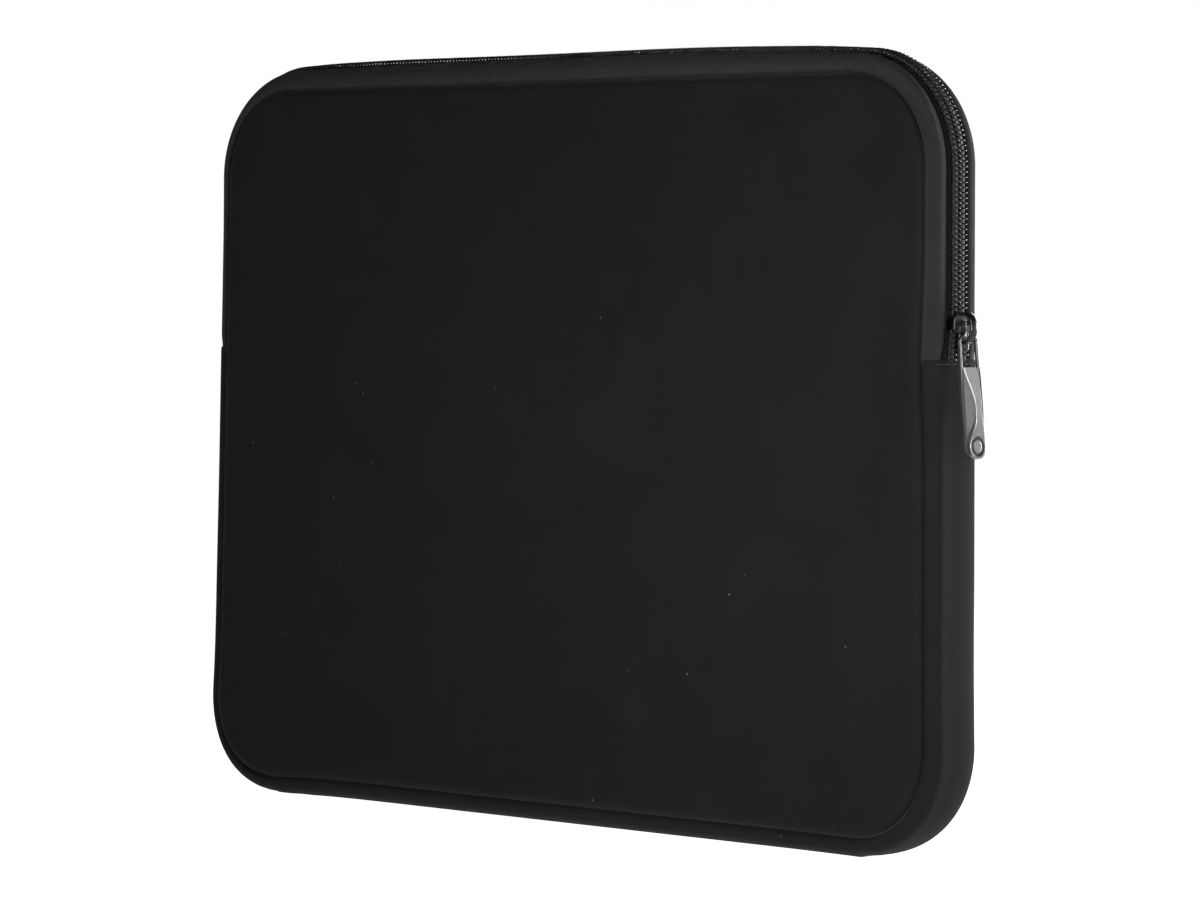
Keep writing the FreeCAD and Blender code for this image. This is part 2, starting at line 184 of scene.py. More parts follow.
def make_studio():
    world = bpy.data.worlds.new("studio")
    bpy.context.scene.world = world
    world.use_nodes = True
    tree = world.node_tree
    split = tree.nodes.new("ShaderNodeSeparateXYZ")
    tree.links.new(tree.nodes.new("ShaderNodeTexCoord").outputs["Generated"], split.inputs[0])
    height = tree.nodes.new("ShaderNodeValToRGB")
    tree.links.new(split.outputs["Z"], height.inputs["Fac"])
    for element, (place, level) in zip(height.color_ramp.elements, ((0.08, 1.0), (0.28, CEILING))):
        element.position = place
        element.color = (level, level, level, 1)
    tree.links.new(height.outputs["Color"], tree.nodes["Background"].inputs["Color"])
    area_light("key", (0.88, -1.0, 0.16), (0.12, 0, 0.13), 0.25, 0.25, 1.15, 30)
    area_light("side", (0.55, -0.15, 0.36), (0.17, 0, 0.16), 0.2, 0.2, 0.42, 90)
    area_light("rim", (0.38, 0.88, 0.14), (0.2, 0, 0.11), 0.4, 0.5, 1.0, 20)
    area_light("back_fill", (-0.7, 1.2, 0.3), (0, 0, 0.12), 0.4, 0.4, 0.7, 40)
    bpy.ops.mesh.primitive_plane_add(size=60, location=(0, 0, 0))
    floor = bpy.context.active_object
    floor.name = "floor"
    material = bpy.data.materials.new("floor")
    material.use_nodes = True
    shader = material.node_tree.nodes["Principled BSDF"]
    shader.inputs["Base Color"].default_value = (0.95, 0.95, 0.95, 1)
    shader.inputs["Roughness"].default_value = 0.9
    shader.inputs["Emission Color"].default_value = (1, 1, 1, 1)
    shader.inputs["Emission Strength"].default_value = FLOOR_GLOW
    floor.data.materials.append(material)
    bpy.context.scene.view_settings.view_transform = "Standard"


# Material helpers

class Nodes:
    """A material's node tree, with short ways to add what the materials here share."""

    def __init__(self, name):
        self.material = bpy.data.materials.new(name)
        self.material.use_nodes = True
        self.tree = self.material.node_tree
        self.shader = self.tree.nodes["Principled BSDF"]

    def add(self, kind, **settings):
        node = self.tree.nodes.new(kind)
        for key, value in settings.items():
            setattr(node, key, value)
        return node

    def link(self, source, target):
        self.tree.links.new(source, target)

    def math(self, operation, first, second=None):
        node = self.add("ShaderNodeMath", operation=operation)
        for socket, value in zip(node.inputs, (first, second)):
            if value is None:
                continue
            if isinstance(value, (int, float)):
                socket.default_value = value
            else:
                self.link(value, socket)
        return node.outputs[0]

    def own_coordinates(self):
        return self.add("ShaderNodeTexCoord").outputs["Object"]

    def cloth_coordinates(self):
        """Metres along and across a strip, from its UV map."""
        uv = self.add("ShaderNodeUVMap", uv_map="strip").outputs["UV"]
        split = self.add("ShaderNodeSeparateXYZ")
        self.link(uv, split.inputs[0])
        return uv, split.outputs["X"], split.outputs["Y"]

    def noise(self, coordinates, scale, detail=2.0, roughness=0.5):
        node = self.add("ShaderNodeTexNoise")
        node.inputs["Scale"].default_value = scale
        node.inputs["Detail"].default_value = detail
        node.inputs["Roughness"].default_value = roughness
        self.link(coordinates, node.inputs["Vector"])
        return node.outputs["Fac"]

    def ramp(self, factor, stops):
        node = self.add("ShaderNodeValToRGB")
        while len(node.color_ramp.elements) < len(stops):
            node.color_ramp.elements.new(0.5)
        for element, (place, colour) in zip(node.color_ramp.elements, stops):
            element.position = place
            element.color = (*colour, 1) if isinstance(colour, tuple) else (colour,) * 3 + (1,)
        self.link(factor, node.inputs["Fac"])
        return node.outputs["Color"]

    def bump(self, height, distance):
        node = self.add("ShaderNodeBump")
        node.inputs["Distance"].default_value = distance
        node.inputs["Strength"].default_value = 1.0
        self.link(height, node.inputs["Height"])
        return node.outputs["Normal"]

    def finish(self, colour, rough, normal, **fixed):
        self.link(colour, self.shader.inputs["Base Color"])
        if rough is not None:
            self.link(rough, self.shader.inputs["Roughness"])
        self.link(normal, self.shader.inputs["Normal"])
        for name, value in fixed.items():
            self.shader.inputs[name.replace("_", " ")].default_value = value
        return self.material


def jersey_material(name, dark, light, wale, depth, sheen, flecks=0.0):
    """Fine jersey knit over foam: columns of small V stitches, a soft bloom and a little lint."""
    nodes = Nodes(name)
    place = nodes.own_coordinates()
    split = nodes.add("ShaderNodeSeparateXYZ")
    nodes.link(place, split.inputs[0])
    turn = 2 * math.pi / wale
    across = nodes.math("ADD", split.outputs["X"], split.outputs["Y"])
    column = nodes.math("SINE", nodes.math("MULTIPLY", across, turn))
    slant = nodes.math("MULTIPLY", nodes.math("ABSOLUTE", column), 1.4)
    up = nodes.math("MULTIPLY", split.outputs["Z"], turn * 1.3)
    row = nodes.math("SINE", nodes.math("ADD", up, slant))
    stitch = nodes.math("ADD", nodes.math("MULTIPLY", nodes.math("ABSOLUTE", column), 0.6), row)
    fuzz = nodes.noise(place, 2600, 2.0, 0.7)
    cloud = nodes.noise(place, 40, 4.0, 0.65)
    height = nodes.math("ADD", nodes.math("MULTIPLY", stitch, 0.15), fuzz)
    tone = nodes.math("ADD", nodes.math("MULTIPLY", cloud, 0.4), nodes.math("MULTIPLY", fuzz, 0.65))
    colour = nodes.ramp(tone, [(0.25, dark), (0.8, light)])
    if flecks:
        lint = nodes.add("ShaderNodeTexVoronoi", feature="F1")
        lint.inputs["Scale"].default_value = 130
        nodes.link(place, lint.inputs["Vector"])
        near = nodes.math("LESS_THAN", lint.outputs["Distance"], 0.055)
        pick = nodes.math("GREATER_THAN", nodes.noise(place, 61, 1.0), 0.63)
        fleck = nodes.math("MULTIPLY", nodes.math("MULTIPLY", near, pick), flecks)
        mix = nodes.add("ShaderNodeMix", data_type="RGBA")
        mix.inputs["B"].default_value = (0.09, 0.09, 0.09, 1)
        nodes.link(fleck, mix.inputs["Factor"])
        nodes.link(colour, mix.inputs["A"])
        colour = mix.outputs["Result"]
    rough = nodes.math("ADD", nodes.math("MULTIPLY", fuzz, 0.16), 0.78)
    normal = nodes.bump(height, depth)
    return nodes.finish(colour, rough, normal, Sheen_Weight=sheen, Sheen_Roughness=0.45,
                        Specular_IOR_Level=0.05)


TAPE_LIP = 16.7 * MM


def twill_material(name, dark, light, rib, band, depth, paint_shade=False):
    """Woven zipper tape: herringbone ribs that change their slant from band to band.

    With paint_shade set, the tape gets painted shade: its colour is darkened along the valley next to
    the coil and where it dives into its seam, standing in for the shadow that falls there.
    """
    nodes = Nodes(name)
    uv, along, across = nodes.cloth_coordinates()
    fold = nodes.math("PINGPONG", across, band)
    ribs = nodes.math("SINE", nodes.math("MULTIPLY", nodes.math("ADD", along, fold), 2 * math.pi / rib))
    yarn = nodes.math("SINE", nodes.math("MULTIPLY", across, 2 * math.pi / (rib * 0.45)))
    height = nodes.math("ADD", ribs, nodes.math("MULTIPLY", yarn, 0.06))
    fuzz = nodes.noise(uv, 2400, 2.0, 0.6)
    cloud = nodes.noise(uv, 60, 2.0, 0.5)
    tone = nodes.math("ADD", nodes.math("MULTIPLY", nodes.math("ADD", height, 1.35), 0.26),
                      nodes.math("MULTIPLY", nodes.math("ADD", fuzz, cloud), 0.22))
    if paint_shade:
        # Painted shade: the colour darkens next to the coil and at the seam, where shadow falls
        from_lip = nodes.math("ABSOLUTE", nodes.math("SUBTRACT", across, TAPE_LIP))
        painted_shade = nodes.ramp(nodes.math("DIVIDE", from_lip, TAPE_LIP),
                           [(0.29, 0.15), (0.42, 1.0), (0.91, 1.0), (0.98, 0.1)])
        tone = nodes.math("MULTIPLY", tone, painted_shade)
    colour = nodes.ramp(tone, [(0.15, dark), (0.85, light)])
    rough = nodes.math("ADD", nodes.math("MULTIPLY", fuzz, 0.2), 0.6)
    normal = nodes.bump(nodes.math("ADD", height, fuzz), depth)
    return nodes.finish(colour, rough, normal, Sheen_Weight=0.02, Sheen_Roughness=0.4,
                        Specular_IOR_Level=0.05)


def thread_material(name, dark, light):
    """Twisted polyester thread."""
    nodes = Nodes(name)
    uv, along, across = nodes.cloth_coordinates()
    slant = nodes.math("ADD", along, nodes.math("MULTIPLY", across, 0.7))
    twist = nodes.math("SINE", nodes.math("MULTIPLY", slant, 2 * math.pi / (0.5 * MM)))
    fuzz = nodes.noise(uv, 3000, 2.0)
    tone = nodes.math("ADD", nodes.math("MULTIPLY", twist, 0.3), fuzz)
    return nodes.finish(nodes.ramp(tone, [(0.2, dark), (0.8, light)]), None,
                        nodes.bump(twist, 0.00006), Roughness=0.6, Sheen_Weight=0.05,
                        Specular_IOR_Level=0.2)


def nylon_material():
    """Glossy black monofilament, with faint drawing lines and scuffs."""
    nodes = Nodes("nylon_coil")
    place = nodes.own_coordinates()
    scuff = nodes.noise(place, 900, 3.0, 0.6)
    colour = nodes.ramp(scuff, [(0.3, (0.0012, 0.0012, 0.0013)), (0.75, (0.004, 0.004, 0.0041))])
    rough = nodes.math("ADD", nodes.math("MULTIPLY", scuff, 0.16), 0.12)
    return nodes.finish(colour, rough, nodes.bump(scuff, 0.00003), Specular_IOR_Level=0.2)


def metal_material(name, dark, light, rough_low, rough_span, grain):
    """Plated die casting: cloudy plating, fine grain and a little rubbing."""
    nodes = Nodes(name)
    place = nodes.own_coordinates()
    cloud = nodes.noise(place, 180, 3.0, 0.6)
    stretch = nodes.add("ShaderNodeMapping")
    stretch.inputs["Scale"].default_value = (1.0, 1.0, 0.12)
    nodes.link(place, stretch.inputs["Vector"])
    brushed = nodes.noise(stretch.outputs["Vector"], 5200, 3.0, 0.7)
    tone = nodes.math("ADD", nodes.math("MULTIPLY", cloud, 0.6), nodes.math("MULTIPLY", brushed, 0.4))
    colour = nodes.ramp(tone, [(0.3, dark), (0.7, light)])
    rough = nodes.math("ADD", nodes.math("MULTIPLY", tone, rough_span), rough_low)
    normal = nodes.bump(brushed, grain)
    return nodes.finish(colour, rough, normal, Metallic=1.0, Specular_IOR_Level=0.5)


MATERIALS = {
    "neoprene": jersey_material("neoprene_jersey", (0.0022, 0.0022, 0.0023), (0.0058, 0.0058, 0.0060),
                                0.55 * MM, 0.00009, 0.012, flecks=0.35),
    "lining": jersey_material("lining_knit", (0.012, 0.012, 0.013), (0.026, 0.026, 0.028),
                              1.1 * MM, 0.0002, 0.1),
    # The zipper tape carries painted shade along the coil's valley and at its seam
    "zipper_tape": twill_material("zipper_twill", (0.0008, 0.0008, 0.0009), (0.0165, 0.0165, 0.0168),
                                  1.0 * MM, 9.0 * MM, 0.00018, paint_shade=True),
    "binding": twill_material("binding_rib", (0.010, 0.010, 0.0105), (0.028, 0.028, 0.029),
                              0.9 * MM, 1.1 * MM, 0.00012),
    "thread": thread_material("sewing_thread", (0.0015, 0.0015, 0.0016), (0.006, 0.006, 0.0062)),
    "zipper_coil": nylon_material(),
    "slider_metal": metal_material("slider_gunmetal", (0.016, 0.016, 0.0165), (0.05, 0.05, 0.051),
                                   0.14, 0.2, 0.000012),
    "pawl_steel": metal_material("pawl_steel", (0.3, 0.3, 0.3), (0.45, 0.45, 0.45),
                                 0.2, 0.25, 0.00001),
    "puller_metal": metal_material("puller_gunmetal", (0.034, 0.034, 0.035), (0.058, 0.058, 0.060),
                                   0.38, 0.14, 0.00002),
}


# Meshes

def add_mesh(name, vertices, faces, material_slot, strip=None, sharp=40, soft=True):
    """A smooth mesh object. strip is one (along, across) pair per vertex."""
    mesh = bpy.data.meshes.new(name)
    if soft:
        vertices = [settle(*place) for place in vertices]
    mesh.from_pydata([tuple(map(float, place)) for place in vertices], [], faces)
    if strip is not None:
        layer = mesh.uv_layers.new(name="strip")
        corners = np.empty(len(mesh.loops), int)
        mesh.loops.foreach_get("vertex_index", corners)
        layer.data.foreach_set("uv", np.asarray(strip, float)[corners].ravel())
    mesh.materials.append(MATERIALS[material_slot])
    mesh.polygons.foreach_set("use_smooth", [True] * len(mesh.polygons))
    mesh.set_sharp_from_angle(angle=math.radians(sharp))
    mesh.validate()
    piece = bpy.data.objects.new(name, mesh)
    bpy.context.scene.collection.objects.link(piece)
    return piece


def tube_faces(first, rings, corners, closed=False):
    """Quads that join rings of vertices from vertex first on, and the caps of an open tube."""
    faces = []
    for ring in range(rings if closed else rings - 1):
        low, high = first + ring * corners, first + (ring + 1) % rings * corners
        for corner in range(corners):
            beside = (corner + 1) % corners
            faces.append((low + corner, low + beside, high + beside, high + corner))
    if not closed:
        last = first + (rings - 1) * corners
        faces.append(tuple(range(first, first + corners))[::-1])
        faces.append(tuple(range(last, last + corners)))
    return faces


def arc_steps(span, spacing):
    return max(2, int(round(span / spacing)))


def loop_frames(span, height=None, spacing=3.0 * MM, rise=0.0):
    """Stations along the seam loop, counterclockwise: rows of x, z, outward x, outward z, distance.

    span is "upper" or "lower" for the part above or below height, or "whole".
    The stations are evenly spaced on the line that runs at the given rise.
    """
    across, top, bottom, radius = HALF_WIDTH, TOP, BOTTOM, SEAM_RADIUS
    inner_x = across - radius
    high, low = top - radius, bottom + radius
    upper = [("line", (across, height), (across, high)), ("arc", (inner_x, high), 0.0),
             ("line", (inner_x, top), (-inner_x, top)), ("arc", (-inner_x, high), 90.0),
             ("line", (-across, high), (-across, height))]
    lower = [("line", (-across, height), (-across, low)), ("arc", (-inner_x, low), 180.0),
             ("line", (-inner_x, bottom), (inner_x, bottom)), ("arc", (inner_x, low), 270.0),
             ("line", (across, low), (across, height))]
    if span == "whole":
        parts = [("line", (across, MIDDLE), (across, high))] + upper[1:4]
        parts += [("line", (-across, high), (-across, low))] + lower[1:4]
        parts += [("line", (across, low), (across, MIDDLE))]
    else:
        parts = upper if span == "upper" else lower
    rows = []
    travelled = 0.0
    for kind, first, second in parts:
        if kind == "line":
            start, end = np.array(first), np.array(second)
            length = float(np.linalg.norm(end - start))
            direction = (end - start) / length
            normal = np.array([direction[1], -direction[0]])
            steps = arc_steps(length, spacing)
            for step in range(steps):
                place = start + direction * length * step / steps
                rows.append((*place, *normal, travelled + length * step / steps))
            last = (*end, *normal, travelled + length)
        else:
            length = math.pi / 2 * (radius + rise)
            steps = arc_steps(length, min(spacing, 2.0 * MM))
            for step in range(steps):
                turn = math.radians(second + 90.0 * step / steps)
                normal = (math.cos(turn), math.sin(turn))
                rows.append((first[0] + radius * normal[0], first[1] + radius * normal[1], *normal,
                             travelled + length * step / steps))
        travelled += length
    if span != "whole":
        rows.append(last)
    return np.array(rows)


def sweep(name, stations, section, material_slot, closed=False, move=None, soft=True):
    """Carries a closed section, as rise and depth pairs, along the stations.

    move(station, section) may return a changed section for a station.
    """
    base = np.asarray(section, float)
    around = np.concatenate([[0.0], np.cumsum(np.linalg.norm(np.diff(base, axis=0), axis=1))])
    vertices, strip = [], []
    for station in stations:
        here = base if move is None else move(station, base.copy())
        for place, (rise, depth) in enumerate(here):
            vertices.append((station[0] + station[2] * rise, depth, station[1] + station[3] * rise))
            strip.append((station[4], around[place]))
    faces = tube_faces(0, len(stations), len(section), closed)
    return add_mesh(name, vertices, faces, material_slot, strip, soft=soft)


# Panels

PANEL_RINGS = [0.0, 0.35, 0.9, 1.7, 2.8, 4.2, 6.0, 8.2, 11.0, 14.5]


def ring_insets(count, shortest):
    """How far in each ring of a panel's grid lies: close together at the edge, then even."""
    insets = [value * MM for value in PANEL_RINGS]
    rest = count - len(insets) + 1
    step = (shortest - insets[-1]) / rest
    return insets + [insets[-1] + step * (index + 1) for index in range(rest)]


def panel_grid(inset, columns=88, rows=65):
    """A grid that fills the seam loop: X, Z and inset of each point, and its faces.

    Each ring of the grid, counted from the edge, follows the loop moved in by that ring's inset.
    """
    half_x, half_z = HALF_WIDTH - inset, (TOP - BOTTOM) / 2 - inset
    corner = SEAM_RADIUS - inset
    depth_count = (rows - 1) // 2
    insets = ring_insets(depth_count, half_z - 1.0 * MM)
    points = np.zeros((columns, rows, 3))

    def along_side(half_run, half_rise, radius, fraction):
        """A point on the right-hand side, from the middle of one corner to the next."""
        arc = math.pi / 4 * radius
        run, rise = half_run - radius, half_rise - radius
        travel = fraction * (2 * arc + 2 * rise)
        if travel < arc:
            turn = math.pi / 4 - travel / radius
            return run + radius * math.cos(turn), -rise - radius * math.sin(turn)
        if travel > arc + 2 * rise:
            turn = (travel - arc - 2 * rise) / radius if radius > 0 else 0
            return run + radius * math.cos(turn), rise + radius * math.sin(turn)
        return half_run, travel - arc - rise

    for column in range(columns):
        for row in range(rows):
            ring = min(column, columns - 1 - column, row, rows - 1 - row)
            distance = insets[ring]
            run, rise = half_x - distance, half_z - distance
            radius = max(corner - distance, 0.0)
            if ring in (column, columns - 1 - column):
                fraction = (row - ring) / max(rows - 1 - 2 * ring, 1)
                x, z = along_side(run, rise, radius, fraction)
                x = x if columns - 1 - column == ring else -x
            else:
                fraction = (column - ring) / max(columns - 1 - 2 * ring, 1)
                z, x = along_side(rise, run, radius, fraction)
                z = z if rows - 1 - row == ring else -z
            points[column, row] = (x, MIDDLE + z, distance)
    flat = points.reshape(-1, 3)
    faces = [(c * rows + r, (c + 1) * rows + r, (c + 1) * rows + r + 1, c * rows + r + 1)
             for c in range(columns - 1) for r in range(rows - 1)]
    border = [c * rows for c in range(columns)]
    border += [(columns - 1) * rows + r for r in range(1, rows)]
    border += [c * rows + rows - 1 for c in range(columns - 2, -1, -1)]
    border += [r for r in range(rows - 2, 0, -1)]
    return flat, faces, border


def edge_roll(distance, face, edge, roll):
    """How far out the panel's skin stands at a distance in from its seam."""
    share = min(distance / roll, 1.0)
    if share >= 1:
        return face
    return edge + (face - edge) * (1 - (1 - share) ** FULLNESS) ** (1 / FULLNESS)


CLOTH_FRAMES = 24


def drape(points, faces, border):
    """Lets the panel's skin swell between its seams, as foam does, and returns its new points."""
    mesh = bpy.data.meshes.new("skin")
    mesh.from_pydata([tuple(map(float, place)) for place in points], [], faces)
    skin = bpy.data.objects.new("skin", mesh)
    bpy.context.scene.collection.objects.link(skin)
    pinned = skin.vertex_groups.new(name="seam")
    pinned.add(border, 1.0, "REPLACE")
    cloth = skin.modifiers.new("cloth", "CLOTH")
    settings = cloth.settings
    settings.quality = 6
    settings.mass = 0.4
    settings.tension_stiffness = settings.compression_stiffness = 12
    settings.shear_stiffness = 6
    settings.bending_stiffness = 8
    settings.vertex_group_mass = "seam"
    settings.use_pressure = True
    settings.uniform_pressure_force = 0.35
    settings.effector_weights.gravity = 0.35
    cloth.point_cache.frame_start = 1
    cloth.point_cache.frame_end = CLOTH_FRAMES
    scene = bpy.context.scene
    for moment in range(1, CLOTH_FRAMES + 1):
        scene.frame_set(moment)
    settled = skin.evaluated_get(bpy.context.evaluated_depsgraph_get()).to_mesh()
    places = np.empty(len(settled.vertices) * 3)
    settled.vertices.foreach_get("co", places)
    scene.frame_set(1)
    bpy.data.objects.remove(skin)
    return places.reshape(-1, 3)


def facing(faces, side):
    """Grid faces that look out of the sleeve: side -1 is the front."""
    return faces if side < 0 else [quad[::-1] for quad in faces]


def slab_faces(faces, border, side, shift):
    """A slab's faces: its outer grid, the same grid shift vertices on, and the rim between."""
    outer = facing(faces, side)
    rim = [(first, first + shift, second + shift, second)
           for first, second in zip(border, border[1:] + border[:1])]
    return outer + [tuple(v + shift for v in quad[::-1]) for quad in outer] + facing(rim, side)


# Only this share of the simulated swell is kept, and never more than the cap
SWELL_SHARE = 0.25
SWELL_CAP = 1.5 * MM
SWELL_EASE = 6 * MM


def make_panel(name, side):
    """One neoprene panel: a swollen skin, turned in at the seam, and a flat back."""
    grid, faces, border = panel_grid(0.35 * MM)
    face = abs(FRONT_FACE if side < 0 else BACK_FACE) - 0.4 * MM
    skin = np.array([(x, side * edge_roll(distance, face, GROOVE_DEPTH, 5.0 * MM), z)
                     for x, z, distance in grid])
    settled = drape(skin, facing(faces, side), border)
    shift = SWELL_CAP * np.tanh((settled - skin) * SWELL_SHARE / SWELL_CAP)
    ease = np.clip(grid[:, 2:3] / SWELL_EASE, 0, 1)
    skin = skin + shift * ease
    inner = np.array([(x, side * (abs(PANEL_BACK) - 0.1 * MM), z) for x, z, distance in grid])
    slab = slab_faces(faces, border, side, len(skin))
    panel = add_mesh(name, np.vstack([skin, inner]), slab, "neoprene", sharp=70)
    finer = panel.modifiers.new("smooth", "SUBSURF")
    finer.levels = finer.render_levels = 1
    return panel


def make_lining(name, side):
    """The knit inside face of a panel: a thin quilted sheet."""
    grid, faces, border = panel_grid(LINING_INSET, 60, 45)
    far = abs(PANEL_BACK) - 0.2 * MM
    near = abs(LINING_BACK)
    ripple = [0.12 * MM * math.sin(x * 160) * math.sin(z * 130) for x, z, distance in grid]
    outer = [(x, side * far, z) for x, z, distance in grid]
    inner = [(x, side * (near + wave), z) for (x, z, distance), wave in zip(grid, ripple)]
    slab = slab_faces(faces, border, side, len(outer))
    return add_mesh(name, outer + inner, slab, "lining", sharp=60)


# Edge band

SEAM_TUCK = 2.0 * MM
TUCK_REACH = 0.42 * MM


def pillow(rise, edge, samples):
    """Rise and depth pairs from the back seam over the crown to the front seam."""
    points = []
    for index in range(samples + 1):
        share = index / samples
        turn = math.pi * (share - 0.85 * math.sin(2 * math.pi * share) / (2 * math.pi))
        out = abs(math.cos(turn)) ** 0.9
        lift = PILLOW_START + (rise - PILLOW_START) * (1 - out ** FULLNESS) ** (1 / FULLNESS)
        tuck = SEAM_TUCK * math.exp(-lift / TUCK_REACH)
        points.append((lift, math.copysign(edge * out - tuck, math.cos(turn))))
    return points


def with_fine_ends(stations):
    """Adds stations close to both ends, so that the ends can roll over."""
    length = stations[-1, 4]
    extra = [distance * MM for distance in (0.25, 0.6, 1.1, 1.8)]
    travels = sorted(set(stations[:, 4]) | set(extra) | {length - distance for distance in extra})
    rows = [[np.interp(travel, stations[:, 4], stations[:, column]) for column in range(5)]
            for travel in travels]
    return np.array(rows)


GUSSET_SLIM = 0.7 * MM
END_ROLL = 0.8 * MM
END_ROLL_RUN = 1.6 * MM


def make_gusset():
    """The neoprene strip round the bottom, a little wavy, with rolled ends and a flat base."""
    outer = pillow(GUSSET_RISE, PILLOW_EDGE, 36)
    inner = pillow(GUSSET_RISE - 3.2 * MM, PILLOW_EDGE - 2.8 * MM, 18)
    section = outer + inner[::-1]
    stations = with_fine_ends(loop_frames("lower", JOIN - 0.15 * MM, 2.5 * MM, GUSSET_RISE))
    waves = [(random.uniform(40, 150), random.uniform(0, 6.28), random.uniform(0.04, 0.14) * MM)
             for wave in range(6)]
    length = stations[-1, 4]
    front = len(outer)

    def slack(station, here):
        travel = station[4]
        lift = sum(size * math.sin(rate * travel + phase) for rate, phase, size in waves)
        bulge = here[:, 0] / GUSSET_RISE
        on_base = station[3] < -0.999
        if not on_base:
            here[:, 0] += (lift - GUSSET_SLIM) * bulge
        to_end = min(travel, length - travel)
        roll = max(1 - to_end / END_ROLL_RUN, 0.0)
        here[:front, 0] -= END_ROLL * (1 - math.sqrt(1 - roll * roll)) * bulge[:front]
        return here

    return sweep("gusset", stations, section, "neoprene", move=slack)


FRONT_SPREAD = 1.9 * MM
BACK_SPREAD = 1.0 * MM
SPREAD_TOP = SLIDER_HIGH.z
SPREAD_RUN = 14 * MM
CROWN_DEPTH = 8.0 * MM
VALLEY_DEPTH = 4.9 * MM
GUTTER_DEPTH = 4.65 * MM
TAPE_THICK = 1.0 * MM
TAPE_EDGE = 0.45 * MM
FRONT_DIP = 1.3 * MM
BACK_DIP = 0.3 * MM


def spread_at(station, side):
    """How far a right-hand tape moves off below the slider, where the coils aren't meshed yet."""
    x, z = station[0], station[1]
    if x < 0:
        return 0.0
    return (FRONT_SPREAD if side < 0 else BACK_SPREAD) * smooth((SPREAD_TOP - z) / SPREAD_RUN)


def tape_level(depth, rise):
    """How far out the tape stands: a crown near the seam, then a valley that holds the coil."""
    share = min(depth / PILLOW_EDGE, 1.0)
    level = PILLOW_START + (rise - PILLOW_START) * (1 - share ** FULLNESS) ** (1 / FULLNESS)
    level -= (level - VALLEY) * smooth((CROWN_DEPTH - depth) / (CROWN_DEPTH - VALLEY_DEPTH))
    return level - 0.9 * MM * math.exp(-((depth - GUTTER_DEPTH) / (0.5 * MM)) ** 2)


def half_band(side, rise, thick, lip):
    """One tape's section: side -1 is the front."""
    samples = 24
    depths = [PILLOW_EDGE * math.cos(math.pi / 2 * (step / samples) ** 1.7) ** 0.9
              for step in range(samples)]
    depths = [depth for depth in depths if depth > CROWN_DEPTH]
    steps = 18
    depths += [CROWN_DEPTH + (lip - CROWN_DEPTH) * step / steps for step in range(steps + 1)]
    outer, inner = [], []
    for depth in depths:
        level = tape_level(depth, rise)
        outer.append((level, side * (depth - SEAM_TUCK * math.exp(-level / TUCK_REACH))))
        inner.append((level - thick, side * max(depth - thick * (depth / PILLOW_EDGE) ** 3, lip)))
    return outer + inner[::-1]


def make_tape(name, side):
    """One zipper tape, which parts from the other below the slider and dips into its join."""
    section = half_band(side, TAPE_RISE - 0.4 * MM, TAPE_THICK, TAPE_EDGE)
    stations = with_fine_ends(loop_frames("upper", JOIN - 1.5 * MM, 2.5 * MM, TAPE_RISE))

    def part(station, here):
        gap = spread_at(station, side)
        crown = np.clip(1 - (np.abs(here[:, 1]) - 3 * MM) / (7 * MM), 0, 1)
        here[:, 1] += side * gap * crown
        swell = top_swell(station[0], station[1])
        past_valley = np.abs(here[:, 1]) - VALLEY_DEPTH
        crown_share = np.clip(past_valley / (CROWN_DEPTH - VALLEY_DEPTH), 0, 1)
        extra = BACK_SWELL * crown_share if side > 0 else 0.0
        here[:, 0] *= 1 + (swell + extra * on_top(station[0], station[1])) / TAPE_RISE
        pucker = smooth((JOIN + 5 * MM - station[1]) / (5.5 * MM))
        dip = FRONT_DIP if side < 0 else BACK_DIP
        here[:, 0] -= dip * pucker * here[:, 0] / TAPE_RISE
        return here

    return sweep(name, stations, section if side > 0 else section[::-1], "zipper_tape", move=part)


PITCH = 1.72 * MM
COIL_HALF_TALL = 0.74 * MM
COIL_HALF_WIDE = 1.85 * MM
STRAND = 0.34 * MM
TURN_STEPS = 20
STRAND_CORNERS = 7
COIL_MIDDLE = (COIL_TOP + VALLEY) / 2


def station_at(stations, travel):
    """The seam point and the outward direction at a distance along the loop."""
    return tuple(np.interp(travel, stations[:, 4], stations[:, column]) for column in range(4))


def coil_place(stations, travel):
    """The seam point, the outward direction and the coil's rise at a distance along the loop."""
    x, z, out_x, out_z = station_at(stations, travel)
    norm = math.hypot(out_x, out_z)
    rise = COIL_MIDDLE * (1 + top_swell(x, z) / TAPE_RISE) + COIL_SWELL * on_top(x, z)
    return x, z, out_x / norm, out_z / norm, rise


